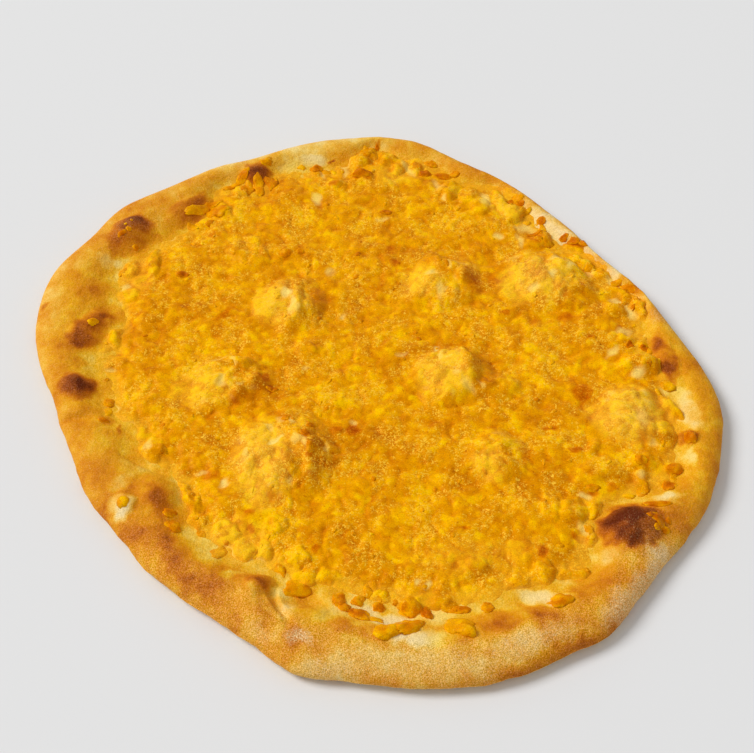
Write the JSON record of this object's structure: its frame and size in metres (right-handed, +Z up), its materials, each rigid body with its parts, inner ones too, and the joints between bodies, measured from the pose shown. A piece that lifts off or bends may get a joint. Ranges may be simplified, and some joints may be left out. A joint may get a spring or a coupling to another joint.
{
  "type": "cheese manakish",
  "caption": "Round oven-baked flatbread with a puffed, toasted rim and a shallow well filled with melted grated cheese, heaped in mounds.",
  "frame": {"origin": "on the flat underside, at the middle of the bread's box", "axes": "+Z up through the bread's thickness, +X to the right and +Y to the back of someone who looks at it with the folded rim at the front left"},
  "size_m": [0.2785, 0.276, 0.0169],
  "materials": {
    "crust": "baked wheat crust, matt, golden with dark toasted blisters and a little flour",
    "cheese": "melted grated yellow cheese, greasy sheen",
    "toasted_cheese": "small lumps of set cheese, toasted on top, greasy sheen"
  },
  "bodies": {
    "root": {"flatbread": "crust", "cheese_layer": "cheese", "cheese_lump_1": "toasted_cheese", "cheese_lump_2": "toasted_cheese", "cheese_lump_3": "toasted_cheese", "cheese_lump_4": "toasted_cheese", "cheese_lump_5": "toasted_cheese", "cheese_lump_6": "toasted_cheese"}
  },
  "joints": []
}
